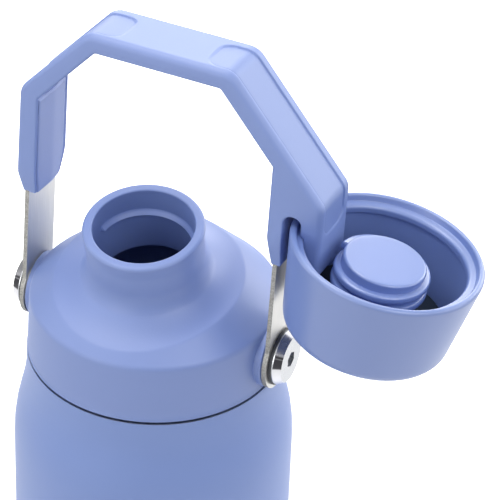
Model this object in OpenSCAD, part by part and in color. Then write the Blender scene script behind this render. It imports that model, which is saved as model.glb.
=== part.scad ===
// Vacuum-insulated water jug with a screw lid, a tilted drinking spout, a carry
// handle that swings on steel straps, and a cap that hangs on the handle's dock.
// Millimetres. The origin is the centre of the base and Z is up. The drinking side
// faces -Y, the handle swings about an axis along X, and the dock is on the +X side.

/* [Bottle] */
// Outside diameter of the body
body_d = 96; // [92:1:110]
// Height from the base to the mouth
body_h = 255; // [180:1:320]
// Height of the curved shoulder below the mouth
shoulder_h = 37; // [30:1:50]
// How far the shoulder brings the neck in from the body's wall
shoulder_in = 4.8; // [3:0.1:8]
// Width of the flat rim around the mouth
rim_t = 3.6; // [3.2:0.1:5]
// Depth of the straight neck inside the mouth
neck_depth = 24; // [20:1:30]
// Thickness of the outer wall
shell_t = 0.8; // [0.6:0.1:1.2]
// Thickness of the inner wall
liner_t = 0.8; // [0.6:0.1:1.2]
// Gap between the walls of the body
vacuum_gap = 3; // [2:0.5:4]
// Gap between the inner and the outer bottom
bottom_gap = 6; // [4:0.5:12]
// Radius of the rolled bottom edge
bottom_edge_r = 6; // [4:0.5:8]
// Thickness of the flat cover under the base
cover_t = 1.2; // [1:0.1:2]

/* [Lid] */
// Thickness of the gasket that shows at the seam
seam_t = 0.9; // [0.6:0.1:1.5]
// Height of the collar's upright wall
collar_h = 21.3; // [19:0.1:26]
// How much the collar narrows towards its top, on the diameter
collar_draft = 1.6; // [0:0.1:3]
// Wall thickness of the collar
collar_wall = 3.2; // [2.4:0.1:4]
// Slope of the collar's shoulder
dome_angle = 44; // [40:0.5:48]
// Pitch of the thread between lid and neck
neck_pitch = 5; // [4:0.5:6]
// Length of the threaded ring below the mouth
core_len = 17; // [14:0.5:19]
// Wall thickness of the threaded ring
core_wall = 3.5; // [2.5:0.5:5]

/* [Spout] */
// Tilt of the spout towards the drinking side
spout_tilt = 9.6; // [0:0.1:12]
// Depth below the mouth at which the spout's axis meets the bottle's axis
spout_root = 3.8; // [0:0.1:8]
// Distance from there to the spout's rim
spout_len = 60.1; // [58:0.1:66]
// Outside diameter of the spout
spout_d = 39.6; // [38:0.1:42]
// Bore of the spout
spout_bore = 33.8; // [33:0.1:35]
// Height of the spout's rim above the crease at its foot
spout_rise = 20.5; // [18:0.1:22]
// Diameter of the crease at the spout's foot
crease_d = 48.6; // [46:0.1:52]
// Slope of the landing that the closed cap sits on
landing_angle = 24.5; // [20:0.5:28]

/* [Pivot] */
// Height of the handle's pivot above the mouth
pivot_rise = 11.2; // [10.5:0.1:14]
// Diameter of the pivot bosses
boss_d = 22.4; // [20:0.1:24]
// How far the bosses stand out from the collar's wall
boss_proud = 0.8; // [0.5:0.1:3]
// Diameter of the pivot screw's head
screw_head_d = 18.8; // [16:0.1:19.4]
// Diameter of the flat on the screw's head
screw_flat_d = 16.1; // [12:0.1:18]
// Height of the screw's head
screw_head_h = 3.1; // [2.5:0.1:4]
// Diameter of the screw's shank
screw_shank_d = 6; // [5:0.5:7]
// Width across the flats of the hexagon socket
socket_af = 5; // [4:0.5:6]
// Length of the brass insert
insert_len = 9; // [7:0.5:10]
// Thickness of the washer under the screw's head
washer_t = 1; // [0.6:0.1:1.5]
// Thickness of the friction washer
friction_t = 0.4; // [0.3:0.1:0.8]

/* [Handle] */
// Lean of the handle towards the back
handle_lean = 5; // [0:1:30]
// Thickness of the steel straps
strap_t = 1.5; // [1.2:0.1:2.5]
// Width of the steel straps
strap_w = 19; // [16:0.5:19.5]
// Depth of the grip from front to back
grip_depth = 21.5; // [21.3:0.1:24]
// Height of the grip's lower end above the pivot
grip_bottom = 40; // [32:0.5:46]
// Height of the loop's side corners above the pivot
leg_h = 76.4; // [70:0.1:84]
// Sideways run of each sloping stretch
slope_run = 19.6; // [16:0.1:24]
// Height of each sloping stretch
slope_rise = 22.1; // [18:0.1:26]
// Thickness of the top of the grip
top_t = 6.4; // [6:0.1:9]
// Thickness of the sloping stretches
slope_t = 6.6; // [6:0.1:9]
// Thickness of the plastic outside each strap
leg_wall = 2.5; // [2:0.05:4]
// Thickness of the inner leg covers
leg_cover_t = 2.4; // [2.2:0.1:3]
// Bevel along the grip's outer edges
grip_bevel = 1.2; // [1:0.1:2.5]
// Thickness of the soft pads
pad_t = 1; // [0.8:0.1:1.5]
// How far the pads lie below the outer face
pad_sunk = 0.4; // [0.2:0.1:0.6]
// Border of the grip beside the pads
pad_border = 2.9; // [2.5:0.1:4]

/* [Dock] */
// Thickness of plastic between the strap and the slot
dock_wall = 1.2; // [1:0.1:3]
// Width of the slot at its top
slot_w = 6.4; // [6:0.1:8]
// Height of the slot's top above the pivot
slot_top = 60.2; // [56:0.1:64]
// Thickness of the tongue that hangs inside the cap
tongue_t = 6.5; // [4:0.1:7]
// Depth of the rim in the slot
dock_depth = 17.9; // [10:0.1:20]
// Space between the slot's inner wall and the cap
dock_slack = 0.86; // [0.5:0.02:2]
// Space above the cap's rim in the slot
slot_slack = 2.9; // [2:0.1:6]

/* [Cap] */
// Outside diameter at the cap's rim
cap_d = 64.6; // [62:0.1:66]
// Outside diameter at the cap's closed end
cap_base_d = 54.3; // [53:0.1:60]
// Height of the cap
cap_h = 33.7; // [31:0.1:36]
// Radius of the cap's closed edge
cap_edge_r = 5.5; // [3:0.5:7]
// Wall thickness of the cap's skirt
cap_wall = 2.5; // [2:0.1:3]
// Inside diameter of the bead behind the rim
bead_d = 54.7; // [53:0.1:57]
// Depth from the rim to the seal
cap_depth = 25.2; // [23:0.1:27]
// Thickness of the seal
seal_t = 1.5; // [1:0.1:2]
// Tilt of the hung cap away from the handle
cap_tilt = 9.6; // [8:0.1:10]
// Diameter of the stopper
stopper_d = 27.5; // [26:0.1:28]
// Depth of the stopper's end below the rim
stopper_drop = 3.9; // [1:0.1:5]
// Outside diameter of the stopper's thread
stopper_thread_d = 31.8; // [31:0.1:32.4]
// Pitch of the thread between stopper and spout
spout_pitch = 4.2; // [3.5:0.1:5]

/* [Hidden] */
$fn = 96;

// Colours
coat = [0.51, 0.58, 0.78];
moulded = [0.48, 0.56, 0.76];
soft = [0.55, 0.63, 0.84];
steel = [0.75, 0.76, 0.78];
brass = [0.78, 0.63, 0.32];
seal = [0.12, 0.16, 0.22];

// Clearances
tiny = 0.05;
seat_gap = 0.1;
free_gap = 0.3;
over = 1;

// Bottle
body_r = body_d / 2;
neck_r = body_r - shoulder_in;
mouth_r = neck_r - rim_t;
liner_r = body_r - shell_t - vacuum_gap;
shoulder_z = body_h - shoulder_h;
lip_z = 0.4;
lip_r = body_r - bottom_edge_r - 0.4;
outer_base_z = lip_z + shell_t;
outer_base_t = 0.8;
inner_base_z = outer_base_z + outer_base_t + bottom_gap;
inner_base_h = 7;
port_r = 1.5;
bead_r = 3;
bead_h = 0.6;
getter_r = 5;
getter_h = 2;
getter_x = 20;

// Lid
seam_z = body_h + seam_t;
collar_r = neck_r - 0.1;
collar_top_r = collar_r - collar_draft / 2;
collar_top_z = seam_z + collar_h;
collar_edge_r = 4;
hollow_r = collar_top_r - collar_wall;
core_r = mouth_r - 1.6;
core_crest_r = mouth_r - 0.4;
neck_tip_r = mouth_r - 1.1;
core_flange_t = 2;
core_flange_r = core_r + 2.5;
gasket_in_r = core_r + 0.5;
gasket_out_r = neck_r - 1.6;
neck_turns = 1.5;
neck_thread_z = body_h - 3 - neck_turns * neck_pitch;
core_thread_z = neck_thread_z - neck_pitch / 2;

// Spout, in its own frame whose origin lies on the bottle's axis
spout_r = spout_d / 2;
bore_r = spout_bore / 2;
crease_r = crease_d / 2;
crease_s = spout_len - spout_rise;
foot_s = crease_s - 12;
spout_lip_r = 1.2;
spout_foot_r = (crease_r - spout_r) / cos(landing_angle) / tan((90 - landing_angle) / 2);
spout_thread_tip_r = 14.9;
spout_thread_turns = 0.75;
spout_thread_drop = 8.9;
spout_thread_start = 176;
spout_tube_depth = 26;
spout_tube_t = 2.4;

// Pivot
pivot_z = body_h + pivot_rise;
boss_x = collar_r + boss_proud;
bush_r = screw_shank_d / 2 + 2.5;
strap_x0 = boss_x + friction_t + tiny;
strap_x1 = strap_x0 + strap_t;
washer_x0 = strap_x1 + tiny;
head_x0 = washer_x0 + washer_t;
head_x1 = head_x0 + screw_head_h;
insert_r = screw_shank_d / 2 + 1.5;
insert_x0 = boss_x - insert_len;
strap_end_r = boss_d / 2;

// Handle, in its own frame: X across, Y to the back, Z up the legs from the pivot
leg_in = strap_x0 - tiny - leg_cover_t;
leg_out = strap_x1 + leg_wall;
top_in = leg_in - slope_run;
top_h = leg_h + slope_rise;
leg_taper_h = 7;
leg_taper_wall = 0.5;
foot_front = strap_w / 2 - 0.1;
foot_back = strap_w / 2 - 2.7;
foot_rise = 9;
cover_proud = 0.4;
strap_top = leg_h - 5;
cover_top = leg_h - 0.8;
strap_room = 0.3;
rivet_r = strap_w * 0.095;
rivet_head_r = strap_w * 0.168;
rivet_head_h = leg_cover_t * 0.46;
rivet_hold = leg_wall * 0.56;
rivet_w = [grip_bottom + strap_w * 0.63, strap_top - strap_w * 0.37];
slope_len = norm([slope_run, slope_rise]);
slope_dir = [slope_run, -slope_rise] / slope_len;
slope_out = [slope_rise, slope_run] / slope_len;
slope_foot = [leg_in, leg_h] + slope_out * slope_t;
corner_r = 7;
inner_corner_r = 1.5;

// Dock, cap and tongue
cap_r = cap_d / 2;
slot_in = strap_x1 + dock_wall;
slot_corner_r = slot_w / 2 - 0.1;
tongue_out = slot_in + slot_w + tongue_t;
cap_x = slot_in + dock_slack + cap_r * cos(cap_tilt);
rim_w = slot_top - slot_slack;
cap_w = rim_w - cap_r * sin(cap_tilt);
tongue_bottom = rim_w - dock_depth;
bead_inner_r = bead_d / 2;
bead_drop = 5.7;
bead_x = cap_x - bead_drop * sin(cap_tilt);
clip_r = bead_inner_r * cos(cap_tilt) - free_gap;
tongue_top_r = clip_r - 0.1;
tongue_face_r = clip_r - 1.2;
clip_w = 7;
notch_w = rim_w - 2;

// Cap, in its own frame: origin at the centre of the rim, Z out of its mouth
cap_base_r = cap_base_d / 2;
cap_slope = (cap_r - cap_base_r) / cap_h;
cap_lip_w = 1.9;
groove_drop = 2.7;
floor_t = 2.5;
flange_t = 2.5;
stopper_wall = 2.2;
stopper_r = stopper_d / 2;
thread_tip_r = stopper_thread_d / 2;
seal_z = -cap_depth - seal_t;
core_foot_z = -cap_h + floor_t;
seal_in_r = thread_tip_r + 0.8;
stopper_turns = 2.25;
stopper_thread_top = 2.1;
stopper_thread_start = 180;

function unit(v) = v / norm(v);
function deg(v) = atan2(v.y, v.x);
function turn(a) = a > 180 ? a - 360 : a < -180 ? a + 360 : a;
// Where a line through p along d meets the upright line at x
function at_x(p, d, x) = [x, p.y + (x - p.x) * d.y / d.x];
// Where a line through p along d meets the level line at y
function at_y(p, d, y) = [p.x + (y - p.y) * d.x / d.y, y];
// Points of an arc of radius r that rounds the corner b of the path a, b, c
function corner_arc(a, b, c, r, steps) =
    let (u = unit(a - b), v = unit(c - b))
    let (half = acos(u * v) / 2)
    let (mid = b + unit(u + v) * r / sin(half))
    let (from = deg(b + u * r / tan(half) - mid), to = deg(b + v * r / tan(half) - mid))
    [for (i = [0:steps]) mid + r * [cos(from + turn(to - from) * i / steps), sin(from + turn(to - from) * i / steps)]];
// An outline from points [x, y, corner radius]
function rounded(pts, steps = 6) = [
    for (i = [0:len(pts) - 1])
        let (p = pts[i], a = pts[(i + len(pts) - 1) % len(pts)], c = pts[(i + 1) % len(pts)])
        each p.z > 0
            ? corner_arc([a.x, a.y], [p.x, p.y], [c.x, c.y], p.z, steps)
            : [[p.x, p.y]]
];
// Height of the landing at radius r, in the spout's frame
function landing_s(r) = crease_s - (r - crease_r) * tan(landing_angle);
// Height of the shoulder cone at radius r, for a wall that ends at radius r0 and height z0
function dome_z(r, r0, z0) = z0 + (r0 - r) * tan(dome_angle);
// Outside radius of the cap at depth h below the rim
function cap_out(h) = cap_r - h * cap_slope;

module revolve(pts) rotate_extrude() polygon(pts);

module tube(r_out, r_in, z0, z1) {
    difference() {
        translate([0, 0, z0])
            cylinder(r = r_out, h = z1 - z0);
        translate([0, 0, z0 - over])
            cylinder(r = r_in, h = z1 - z0 + 2 * over);
    }
}

// A right-hand thread ridge that climbs from height z0 at angle a0
module thread_ridge(root_r, tip_r, root_w, tip_w, pitch, turns, a0, z0) {
    steps = ceil(36 * turns);
    section = [[root_r, -root_w / 2], [tip_r, -tip_w / 2], [tip_r, tip_w / 2], [root_r, root_w / 2]];
    outward = tip_r > root_r;
    points = [
        for (i = [0:steps], s = section)
            let (a = 360 * turns * i / steps)
            [s.x * cos(a0 + a), s.x * sin(a0 + a), z0 + pitch * a / 360 + s.y]
    ];
    sides = [
        for (i = [0:steps - 1], j = [0:3])
            let (k = 4 * i, n = (j + 1) % 4)
            each [[k + j, k + n, k + 4 + n], [k + j, k + 4 + n, k + 4 + j]]
    ];
    e = 4 * steps;
    faces = concat(sides, [[0, 2, 1], [0, 3, 2], [e, e + 1, e + 2], [e, e + 2, e + 3]]);
    polyhedron(points, outward ? faces : [for (f = faces) [f.x, f.z, f.y]], convexity = 6);
}

module at_spout() translate([0, 0, body_h - spout_root]) rotate([spout_tilt, 0, 0]) children();
module at_pivot() translate([0, 0, pivot_z]) children();
module at_handle() at_pivot() rotate([-handle_lean, 0, 0]) children();
module at_cap() at_handle() translate([cap_x, 0, cap_w]) rotate([0, cap_tilt, 0]) children();
module both_sides() {
    children();
    mirror([1, 0, 0])
        children();
}
// Turns an upright shape to lie along +X
module along_x() rotate([0, 90, 0]) children();
// Gives an outline in the X-Z plane its depth along Y
module slab(depth) translate([0, depth / 2, 0]) rotate([90, 0, 0]) linear_extrude(depth) children();
// Gives an outline in the Y-Z plane its thickness along X, from x0
module sheet(x0, t) translate([x0, 0, 0]) rotate([90, 0, 90]) linear_extrude(t) children();

// Half outline of a wall with the shoulder, from radius r0 up to r1 at height top
function shoulder(r0, r1, low, top) =
    let (h = top - low, bend = atan((r0 - r1) / (h / 2)))
    let (r = 0.97 * (h / 4) / tan(bend / 2))
    [[r0, low + h / 4, r], [r1, top - h / 4, r]];

// Bottle
module outer_shell() {
    top = body_h - liner_t;
    outside = shoulder(body_r, neck_r, shoulder_z, top);
    inside = shoulder(body_r - shell_t, neck_r - shell_t, shoulder_z, top);
    color(coat)
        revolve(rounded(concat(
            [[lip_r, lip_z, 0], [body_r, lip_z, bottom_edge_r]], outside,
            [[neck_r, top, 0], [neck_r - shell_t, top, 0], inside[1], inside[0],
             [body_r - shell_t, lip_z + shell_t, bottom_edge_r - shell_t], [lip_r, lip_z + shell_t, 0]]
        ), 12));
}

module inner_liner() {
    foot = inner_base_z + inner_base_h;
    neck_z = body_h - neck_depth;
    outside = shoulder(liner_r, mouth_r + liner_t, shoulder_z - neck_depth / 2, neck_z);
    inside = shoulder(liner_r - liner_t, mouth_r, shoulder_z - neck_depth / 2, neck_z);
    color(steel) {
        revolve(rounded(concat(
            [[liner_r, foot, 0]], outside,
            [[mouth_r + liner_t, body_h - liner_t, 0], [neck_r, body_h - liner_t, 0], [neck_r, body_h, 0],
             [mouth_r, body_h, 0], inside[1], inside[0], [liner_r - liner_t, foot, 0]]
        ), 8));
        thread_ridge(mouth_r + liner_t / 2, neck_tip_r, 1.8, 0.8, neck_pitch, neck_turns, 0, neck_thread_z);
    }
}

module inner_base() {
    low = inner_base_z;
    color(steel)
        revolve(rounded([
            [0, low, 0], [liner_r, low, 5], [liner_r, low + inner_base_h, 0],
            [liner_r - liner_t, low + inner_base_h, 0], [liner_r - liner_t, low + liner_t, 5 - liner_t],
            [0, low + liner_t, 0]
        ]));
}

module outer_base() color(steel) tube(body_r - bottom_edge_r, port_r, outer_base_z, outer_base_z + outer_base_t);

module vacuum_seal_bead() {
    color(seal)
        translate([0, 0, outer_base_z - bead_h])
            cylinder(r = bead_r, h = bead_h);
}

module base_cover() {
    color(coat)
        difference() {
            cylinder(r = lip_r - free_gap, h = cover_t);
            translate([0, 0, outer_base_z - bead_h])
                cylinder(r = bead_r + free_gap, h = cover_t);
        }
}

module getter_pellet() {
    color(steel)
        translate([getter_x, 0, inner_base_z - getter_h])
            cylinder(r = getter_r, h = getter_h);
}

// Lid
// The collar's outside as a body of revolution, up to the spout's foot
module collar_dome(r0, r1, z0, z1, edge_r) {
    revolve(rounded([
        [0, z0, 0], [r0, z0, 0], [r1, z1, edge_r], [4, dome_z(4, r1, z1), 0], [0, dome_z(4, r1, z1), 0]
    ]));
}

// Everything below the tilted landing
module below_landing(drop) {
    reach = body_d;
    at_spout()
        translate([0, 0, -drop])
            revolve([[0, -reach], [reach, -reach], [reach, landing_s(reach)], [0, landing_s(0)]]);
}

module spout_outside() {
    at_spout()
        revolve(rounded([
            [0, foot_s, 0], [crease_r + 2, foot_s, 0], [crease_r + 2, landing_s(crease_r + 2) - tiny, 0],
            [crease_r, crease_s - tiny, 0], [spout_r, landing_s(spout_r), 0.97 * spout_foot_r],
            [spout_r, spout_len, spout_lip_r], [0, spout_len, 0]
        ], 8));
}

module spout_opening() {
    at_spout()
        revolve(rounded([
            [0, foot_s - 8, 0], [bore_r, foot_s - 8, 0], [bore_r, spout_len, spout_lip_r],
            [bore_r + 2, spout_len, 0], [bore_r + 2, spout_len + over, 0], [0, spout_len + over, 0]
        ]));
}

module lid_collar() {
    pad_x0 = insert_x0 - 1.5;
    pad_r = insert_r + 3;
    color(moulded)
        difference() {
            union() {
                difference() {
                    union() {
                        intersection() {
                            collar_dome(collar_r, collar_top_r, seam_z, collar_top_z, collar_edge_r);
                            below_landing(0);
                        }
                        spout_outside();
                        both_sides() at_pivot() along_x()
                            translate([0, 0, hollow_r - 2])
                                cylinder(r = boss_d / 2, h = boss_x - hollow_r + 2);
                    }
                    intersection() {
                        collar_dome(hollow_r, hollow_r, seam_z - over, collar_top_z - collar_wall / 2, 0);
                        below_landing(collar_wall);
                    }
                    spout_opening();
                }
                both_sides() at_pivot() along_x()
                    translate([0, 0, pad_x0])
                        cylinder(r = pad_r, h = hollow_r - pad_x0 + over);
                at_spout()
                    tube(bore_r + spout_tube_t, bore_r, spout_len - spout_tube_depth, crease_s);
                at_spout()
                    thread_ridge(bore_r + 0.6, spout_thread_tip_r, 3.6, 1, spout_pitch, spout_thread_turns,
                        spout_thread_start - 360 * spout_thread_turns,
                        spout_len - spout_thread_drop - spout_pitch * spout_thread_turns);
            }
            both_sides() at_pivot() along_x()
                translate([0, 0, insert_x0])
                    cylinder(r = insert_r + tiny, h = insert_len + over);
            translate([0, 0, seam_z - over])
                cylinder(r = core_flange_r + tiny, h = core_flange_t + over);
            translate([0, 0, seam_z - boss_d])
                cylinder(r = body_d, h = boss_d);
        }
}

module lid_core() {
    low = body_h - core_len;
    color(moulded) {
        difference() {
            union() {
                translate([0, 0, low])
                    cylinder(r = core_r, h = seam_z + core_flange_t - low);
                translate([0, 0, seam_z])
                    cylinder(r = core_flange_r, h = core_flange_t);
            }
            translate([0, 0, low - over])
                cylinder(r = core_r - core_wall, h = core_len + seam_t + core_flange_t + 2 * over);
        }
        thread_ridge(core_r - 0.5, core_crest_r, 1.8, 0.8, neck_pitch, neck_turns, 0, core_thread_z);
    }
}

module lid_gasket() color(seal) tube(gasket_out_r, gasket_in_r, body_h, seam_z);

module threaded_inserts() {
    color(brass)
        both_sides() at_pivot() along_x()
            tube(insert_r, screw_shank_d / 2 + tiny, insert_x0, boss_x);
}

// Pivots
module pivot_screws() {
    color(steel)
        both_sides() at_pivot() along_x()
            difference() {
                revolve([
                    [0, insert_x0 + 1], [screw_shank_d / 2, insert_x0 + 1], [screw_shank_d / 2, head_x0],
                    [screw_head_d / 2, head_x0], [screw_head_d / 2, head_x0 + 0.5],
                    [screw_flat_d / 2, head_x1], [0, head_x1]
                ]);
                translate([0, 0, head_x1 - 2.2])
                    cylinder(r = socket_af / sqrt(3), h = 2.2 + over, $fn = 6);
            }
}

module pivot_washers() {
    color(seal)
        both_sides() at_pivot() along_x()
            tube(screw_head_d / 2 + 0.4, bush_r + seat_gap, washer_x0, head_x0);
}

module friction_washers() {
    color(steel)
        both_sides() at_pivot() along_x()
            tube(strap_end_r - 1, bush_r + seat_gap, boss_x, boss_x + friction_t);
}

module pivot_bushes() {
    color(seal)
        both_sides() at_pivot() along_x()
            tube(bush_r, screw_shank_d / 2 + tiny, boss_x, head_x0);
}

// Handle
module strap() {
    at_handle()
        sheet(strap_x0, strap_t)
            difference() {
                union() {
                    circle(r = strap_end_r);
                    translate([-strap_w / 2, 0])
                        square([strap_w, strap_top]);
                }
                circle(r = bush_r + tiny);
                for (w = rivet_w)
                    translate([0, w])
                        circle(r = rivet_r + tiny);
            }
}
module strap_right() color(steel) strap();
module strap_left() color(steel) mirror([1, 0, 0]) strap();

module strap_rivets() {
    color(steel)
        both_sides() at_handle()
            for (w = rivet_w)
                translate([0, 0, w]) along_x()
                    revolve([
                        [0, strap_x0 - rivet_head_h], [rivet_head_r, strap_x0 - rivet_head_h],
                        [rivet_head_r, strap_x0], [rivet_r, strap_x0],
                        [rivet_r, strap_x1 + rivet_hold], [0, strap_x1 + rivet_hold]
                    ]);
}

// The outline of a leg's tapered lower end, seen from the side
module leg_foot_outline(half) {
    front_rise = foot_rise * (half - foot_front) / (grip_depth / 2 - foot_front);
    back_rise = foot_rise * (half - foot_back) / (grip_depth / 2 - foot_back);
    polygon(rounded([
        [-foot_front, grip_bottom, 0.8], [foot_back, grip_bottom, 1.5], [half, grip_bottom + back_rise, 5],
        [half, leg_h, 0], [-half, leg_h, 0], [-half, grip_bottom + front_rise, 5]
    ]));
}

// The slanted cut that thins the lower end of the right leg towards its strap
module right_foot_cut() {
    top = grip_bottom + foot_rise + 1;
    slab(grip_depth + 2 * over)
        polygon([
            [leg_in - over, grip_bottom - over], [strap_x0 - 0.6, grip_bottom - over],
            [leg_in - cover_proud, top], [leg_in - over, top]
        ]);
}

module leg_cover() {
    half = strap_w / 2 + strap_room - seat_gap;
    at_handle()
        difference() {
            sheet(leg_in - cover_proud, strap_x0 - tiny - leg_in + cover_proud)
                intersection() {
                    leg_foot_outline(half);
                    translate([-half, 0])
                        square([2 * half, cover_top]);
                }
            for (w = rivet_w)
                translate([strap_x0 - rivet_head_h - seat_gap, 0, w]) along_x()
                    cylinder(r = rivet_head_r + seat_gap, h = rivet_head_h + over);
        }
}
module leg_cover_right() {
    color(moulded)
        difference() {
            leg_cover();
            at_handle()
                right_foot_cut();
        }
}
module leg_cover_left() color(moulded) mirror([1, 0, 0]) leg_cover();

// Corners of the grip's outside, from the left leg round to the tongue
outer_top = top_h + top_t;
outer_left = [-leg_out, at_x(slope_foot, slope_dir, leg_out).y];
outer_top_x = at_y(slope_foot, slope_dir, outer_top).x;
outer_right = at_x(slope_foot, slope_dir, tongue_out);
leg_foot = strap_x1 + leg_taper_wall;

// The grip's outside as a filled outline
module grip_outside() {
    polygon(rounded([
        [-leg_foot, grip_bottom, 0], [-leg_out, grip_bottom + leg_taper_h, 4],
        [outer_left.x, outer_left.y, corner_r], [-outer_top_x, outer_top, corner_r],
        [outer_top_x, outer_top, corner_r], [outer_right.x, outer_right.y, corner_r],
        [tongue_out, tongue_bottom, 2], [slot_in + slot_w, tongue_bottom, 0], [slot_in + slot_w, grip_bottom, 0]
    ]));
}

module loop_inside() {
    polygon(rounded([
        [-leg_in, grip_bottom - over, 0], [-leg_in, leg_h, inner_corner_r], [-top_in, top_h, inner_corner_r],
        [top_in, top_h, inner_corner_r], [leg_in, leg_h, inner_corner_r], [leg_in, grip_bottom - over, 0]
    ]));
}

// The round face of the tongue, turned about the hung cap's middle
module tongue_round(r) {
    translate([bead_x, 0, 0])
        cylinder(r = r, h = slot_top + 2 * over);
}

module dock_slot() {
    low = min(grip_bottom, tongue_bottom) - over;
    difference() {
        slab(grip_depth + 2 * over)
            polygon(rounded([
                [slot_in, low, 0], [slot_in, slot_top, slot_corner_r],
                [slot_in + slot_w, slot_top, slot_corner_r], [slot_in + slot_w, low, 0]
            ]));
        tongue_round(tongue_top_r);
    }
    difference() {
        slab(grip_depth + 2 * over)
            translate([slot_in, low])
                square([slot_w + 3, notch_w - low]);
        tongue_round(tongue_face_r);
        intersection() {
            tongue_round(clip_r);
            translate([slot_in, -clip_w / 2, 0])
                cube([slot_w + 3, clip_w, slot_top]);
        }
    }
}

// A bevel cutter along the outer edge from p to q, on the front and on the back
module bevel(p, q) {
    side = grip_bevel * sqrt(2);
    for (y = [-1, 1])
        translate([(p.x + q.x) / 2, y * grip_depth / 2, (p.y + q.y) / 2])
            rotate([0, -deg(q - p), 0]) rotate([45, 0, 0])
                cube([norm(q - p) + 2 * over, side, side], center = true);
}

// The band of the outer face that a pad fills, between two depths, on the +X side
module pad_band(low, high, end_h, start_x) {
    intersection() {
        difference() {
            offset(delta = -low)
                grip_outside();
            offset(delta = -high)
                grip_outside();
        }
        translate([start_x, end_h])
            square([2 * tongue_out, outer_top - end_h + over]);
    }
}
pad_start = outer_top_x - 10.5;
pad_depth = grip_depth - 2 * pad_border;
pad_end_right = slot_top - 5.8;
pad_end_left = leg_h - 9;

module pad_on_right(low, high, depth, room) {
    slab(depth)
        pad_band(low, high, pad_end_right - room, pad_start - room);
}
module pad_on_left(low, high, depth, room) {
    slab(depth)
        mirror([1, 0])
            intersection() {
                mirror([1, 0])
                    pad_band(low, high, pad_end_left - room, -2 * tongue_out);
                translate([pad_start - room, 0])
                    square([2 * tongue_out, outer_top + over]);
            }
}

module handle_grip() {
    pocket_half = strap_w / 2 + strap_room;
    path = [[-leg_out, grip_bottom], outer_left, [-outer_top_x, outer_top], [outer_top_x, outer_top],
        outer_right, [tongue_out, tongue_bottom]];
    color(moulded)
        at_handle()
            difference() {
                slab(grip_depth)
                    difference() {
                        grip_outside();
                        loop_inside();
                    }
                dock_slot();
                right_foot_cut();
                for (i = [0:len(path) - 2])
                    bevel(path[i], path[i + 1]);
                both_sides() {
                    sheet(leg_in - over, slot_in + slot_w / 2 - leg_in + over)
                        difference() {
                            translate([-grip_depth, grip_bottom - over])
                                square([2 * grip_depth, leg_h - grip_bottom]);
                            leg_foot_outline(grip_depth / 2);
                            translate([-grip_depth, grip_bottom + foot_rise + over])
                                square([2 * grip_depth, leg_h]);
                        }
                    sheet(leg_in - over, strap_x1 + seat_gap - leg_in + over)
                        translate([-pocket_half, grip_bottom - over])
                            square([2 * pocket_half, strap_top + seat_gap - grip_bottom + over]);
                    sheet(leg_in - over, strap_x0 - leg_in + over)
                        translate([-pocket_half, grip_bottom - over])
                            square([2 * pocket_half, cover_top + seat_gap - grip_bottom + over]);
                    for (w = rivet_w)
                        translate([strap_x1, 0, w]) along_x()
                            cylinder(r = rivet_r + tiny, h = rivet_hold + seat_gap);
                }
                pad_on_right(-over, pad_sunk + pad_t, pad_depth + 2 * seat_gap, seat_gap);
                pad_on_left(-over, pad_sunk + pad_t, pad_depth + 2 * seat_gap, seat_gap);
            }
}

module grip_pad_right() color(soft) at_handle() pad_on_right(pad_sunk, pad_sunk + pad_t, pad_depth, 0);
module grip_pad_left() color(soft) at_handle() pad_on_left(pad_sunk, pad_sunk + pad_t, pad_depth, 0);

// Cap
module cap_shell() {
    in_top = cap_out(bead_drop) - cap_wall;
    in_floor = cap_out(-core_foot_z) - cap_wall;
    color(moulded)
        at_cap()
            revolve(rounded([
                [0, -cap_h, 0], [cap_base_r, -cap_h, cap_edge_r], [cap_r, 0, 0.8], [cap_r - cap_lip_w, 0, 0.8],
                [cap_r - cap_lip_w - 0.3, -groove_drop, 0.3], [bead_inner_r, -groove_drop - 0.6, 1],
                [bead_inner_r, -bead_drop, 0.4], [in_top, -bead_drop - 0.5, 0],
                [in_floor, core_foot_z, free_gap / 2], [0, core_foot_z, 0]
            ]));
}

module cap_core() {
    foot_r = cap_out(-core_foot_z) - cap_wall - free_gap;
    flange_r = cap_out(-seal_z) - cap_wall - free_gap - 0.5;
    end_z = -stopper_drop;
    color(moulded)
        at_cap() {
            revolve(rounded([
                [foot_r - 2, core_foot_z, 0], [foot_r, core_foot_z, 0], [flange_r, seal_z, 0.3],
                [stopper_r, seal_z, 0], [stopper_r, end_z, 0.8], [0, end_z, 0], [0, end_z - stopper_wall, 0],
                [stopper_r - stopper_wall, end_z - stopper_wall, 1], [stopper_r - stopper_wall, seal_z - flange_t, 0],
                [foot_r - 2, seal_z - flange_t, 0]
            ]));
            thread_ridge(stopper_r - 0.6, thread_tip_r, 2.8, 1.4, spout_pitch, stopper_turns,
                stopper_thread_start - 360 * stopper_turns,
                end_z - stopper_thread_top - spout_pitch * stopper_turns);
        }
}

module cap_gasket() color(seal) at_cap() tube(cap_out(cap_depth) - cap_wall - 0.5, seal_in_r, seal_z, -cap_depth);

outer_shell();
inner_liner();
inner_base();
outer_base();
vacuum_seal_bead();
base_cover();
getter_pellet();
lid_collar();
lid_core();
lid_gasket();
threaded_inserts();
pivot_screws();
pivot_washers();
friction_washers();
pivot_bushes();
handle_grip();
strap_left();
strap_right();
strap_rivets();
leg_cover_left();
leg_cover_right();
grip_pad_left();
grip_pad_right();
cap_shell();
cap_core();
cap_gasket();
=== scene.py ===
import math

import bmesh
import bpy
import numpy as np
from mathutils import Matrix, Vector
from mathutils.geometry import delaunay_2d_cdt


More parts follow.
